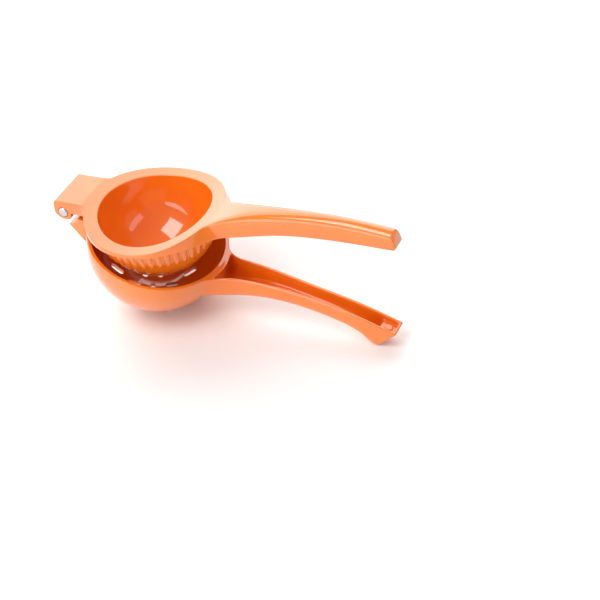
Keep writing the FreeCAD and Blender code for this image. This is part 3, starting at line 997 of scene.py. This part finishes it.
# %% [markdown]
# ### Enamel
# The castings have a thick glossy powder paint: a saturated orange under a clear skin, with the
# faint waviness that such paint keeps from its melting, and a little deeper in tone where it
# pools. A plain glossy color would look like plastic. A coat over a duller base mirrors the
# lamps sharply, and the color under it stays deep.

# %% Orange enamel
ORANGE = (0.90, 0.210, 0.008)
ORANGE_DEEP = (0.88, 0.180, 0.006)


def make_enamel():
    """Thick powder paint under a clear skin."""
    material, tree, shader = new_material("orange_enamel", ORANGE, 0.32)
    color = ramp(tree, noise(tree, 38, 3), 0.35, 0.65, ORANGE_DEEP, ORANGE)
    tree.links.new(color, shader.inputs["Base Color"])
    rough = ramp(tree, noise(tree, 90, 2), 0.3, 0.7, gray(0.27), gray(0.36))
    tree.links.new(rough, shader.inputs["Roughness"])
    shader.inputs["Coat Weight"].default_value = 1.0
    shader.inputs["Coat Roughness"].default_value = 0.05
    shader.inputs["Coat IOR"].default_value = 1.75
    shader.inputs["Specular IOR Level"].default_value = 0.15
    bump(tree, shader, noise(tree, 260, 2), 0.12, 0.0002)
    bump(tree, shader, noise(tree, 160, 1), 0.05, 0.0002, "Coat Normal")
    return material


enamel = make_enamel()
print("enamel with", len(enamel.node_tree.nodes), "nodes")

# %% [markdown]
# ### Steel
# The pin is drawn rod, polished at its heads, with fine scratches. A perfect mirror would only
# show the room's edges. Roughness that changes in fine streaks breaks them up as worn steel does.

# %% Polished steel
STEEL = (0.56, 0.57, 0.59)


def make_steel():
    """Drawn steel with fine streaks."""
    material, tree, shader = new_material("pin_steel", STEEL, 0.22, 1.0)
    rough = ramp(tree, noise(tree, 900, 3, (1, 8, 1)), 0.3, 0.7, gray(0.14), gray(0.34))
    tree.links.new(rough, shader.inputs["Roughness"])
    bump(tree, shader, noise(tree, 700, 2), 0.1, 0.0001)
    return material


steel = make_steel()
print("steel with", len(steel.node_tree.nodes), "nodes")

# %% [markdown]
# ## Into place
# Each mesh is moved by the matrices, and its object stays at the origin as a node of the packed
# model does. Moving the objects instead would make the noise slide over the metal. Each piece
# then rides on its body, so the hinge swings it, and the main ones stand in for their nodes.


# %% Put the pieces in place
def put_in_place(piece, body, node, opened):
    """Lay a finished piece on the table and let it ride on its body in place of its node."""
    piece.data.transform(LAY @ OPEN if opened else LAY)
    piece.data.update()
    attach(piece, body)
    if node:
        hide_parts(node)
    print(piece.name, "rides on", body)


opened_pieces = {press: "press_arm", cup_ribs: None, pin: "hinge_pin"}
closed_pieces = {strainer: "strainer_arm", shoulder: None, tongue: None, boss: None}
for piece, node in opened_pieces.items():
    put_in_place(piece, "press", node, True)
for piece, node in closed_pieces.items():
    put_in_place(piece, "strainer", node, False)

# %% [markdown]
# ### Paint and steel on
# Both castings come out of the same paint booth, with the ribs and all that belongs to them. The
# pin goes in afterwards, so it alone is bare steel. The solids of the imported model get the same
# finishes, for any view that shows them.

# %% Give the pieces their finish
for piece in [*opened_pieces, *closed_pieces]:
    piece.data.materials.clear()
    piece.data.materials.append(steel if piece is pin else enamel)
for node, cad in frame["nodes"].items():
    cad.data.materials.clear()
    cad.data.materials.append(steel if node == "hinge_pin" else enamel)
print("finished pieces", len(opened_pieces) + len(closed_pieces))

# %% [markdown]
# ## Floor
# The tool lies in a white studio, so the floor is a plain pale plane, large enough to fill the
# picture. A curved backdrop would do too, but seen from above only the floor shows.

# %% Floor
FLOOR_SIZE = 6
PALE = (0.90, 0.895, 0.89)
bpy.ops.object.select_all(action="DESELECT")
bpy.ops.mesh.primitive_plane_add(size=FLOOR_SIZE, location=(0, 0, 0))
floor = bpy.context.object
floor.name = "floor"
floor_material, floor_tree, floor_shader = new_material("pale_floor", PALE, 0.45)
floor.data.materials.append(floor_material)
print("floor", FLOOR_SIZE, "m wide")

# %% [markdown]
# ## Light
# Glossy paint is lit by what it mirrors. One bright sky would wash it out, and a bare lamp would
# make a small hard spot. A wide soft light stands behind the tool, where the flange's top
# mirrors it, and a low one in front draws the line of light along the upper handle. A smaller
# one high up makes the bright patch in the cup, and a weak one fills the side.


# %% Lights
def soft_light(name, azimuth, elevation, distance, size, power):
    """An area light aimed at the tool, placed by its direction seen from the tool."""
    a, e = math.radians(azimuth), math.radians(elevation)
    toward = Vector((math.sin(a) * math.cos(e), -math.cos(a) * math.cos(e), math.sin(e)))
    bpy.ops.object.light_add(type="AREA", location=toward * distance)
    light = bpy.context.object
    light.name = name
    light.data.shape = "RECTANGLE"
    light.data.size, light.data.size_y = size
    light.data.energy = power
    light.rotation_euler = toward.to_track_quat("Z", "Y").to_euler()
    print(name, power, "W")


world = bpy.data.worlds.new("studio")
bpy.context.scene.world = world
world.use_nodes = True
world.node_tree.nodes["Background"].inputs["Color"].default_value = (1.0, 1.0, 1.0, 1)
world.node_tree.nodes["Background"].inputs["Strength"].default_value = 0.3
soft_light("back_softbox", 216, 35, 1.5, (2.4, 1.8), 29)
soft_light("front_softbox", -30, 16, 1.6, (2.8, 0.75), 15)
soft_light("cup_light", -24, 64, 1.6, (0.9, 0.9), 13)
soft_light("side_fill", 95, 24, 1.6, (1.2, 0.8), 4)

# %% [markdown]
# ## Camera
# The view is the photograph's. Its direction and roll, and the pixel on which the middle of the
# bowl's rim lies, were matched to the photograph. A camera could be turned by eye until it looks
# right, but handles this long show every degree of error.

# %% Camera
PHOTO_SIDE = 600
FOCAL_PIXELS = 1499
SENSOR = 36.0
CAMERA_AZIMUTH, CAMERA_ELEVATION, CAMERA_ROLL = (math.radians(d) for d in (16.199, 47.647, -12.346))
RIM_DEPTH = 999.5
RIM_PIXEL = (158.39, 237.09)


def camera_matrix():
    """The camera's place in the drawing's own frame, from its direction and the rim's pixel."""
    a, e = CAMERA_AZIMUTH, CAMERA_ELEVATION
    back = Vector((math.sin(a) * math.cos(e), -math.cos(a) * math.cos(e), math.sin(e)))
    level = back.to_track_quat("Z", "Y").to_matrix()
    turned = level @ Matrix.Rotation(-CAMERA_ROLL, 3, "Z")
    right, up = turned.col[0], turned.col[1]
    across = (RIM_PIXEL[0] - PHOTO_SIDE / 2) * RIM_DEPTH / FOCAL_PIXELS
    down = (RIM_PIXEL[1] - PHOTO_SIDE / 2) * RIM_DEPTH / FOCAL_PIXELS
    place = back * RIM_DEPTH - right * across + up * down
    return Matrix.LocRotScale(place, turned.to_quaternion(), None)


laid = LAY @ camera_matrix()
bpy.ops.object.camera_add()
camera = bpy.context.object
camera.name = "camera"
camera.matrix_world = Matrix.LocRotScale(laid.to_translation(), laid.to_quaternion(), None)
camera.data.sensor_width = SENSOR
camera.data.lens = SENSOR * FOCAL_PIXELS / PHOTO_SIDE
bpy.context.scene.camera = camera
bpy.context.scene.view_settings.view_transform = "Standard"
print("camera at", [round(v, 4) for v in camera.location])
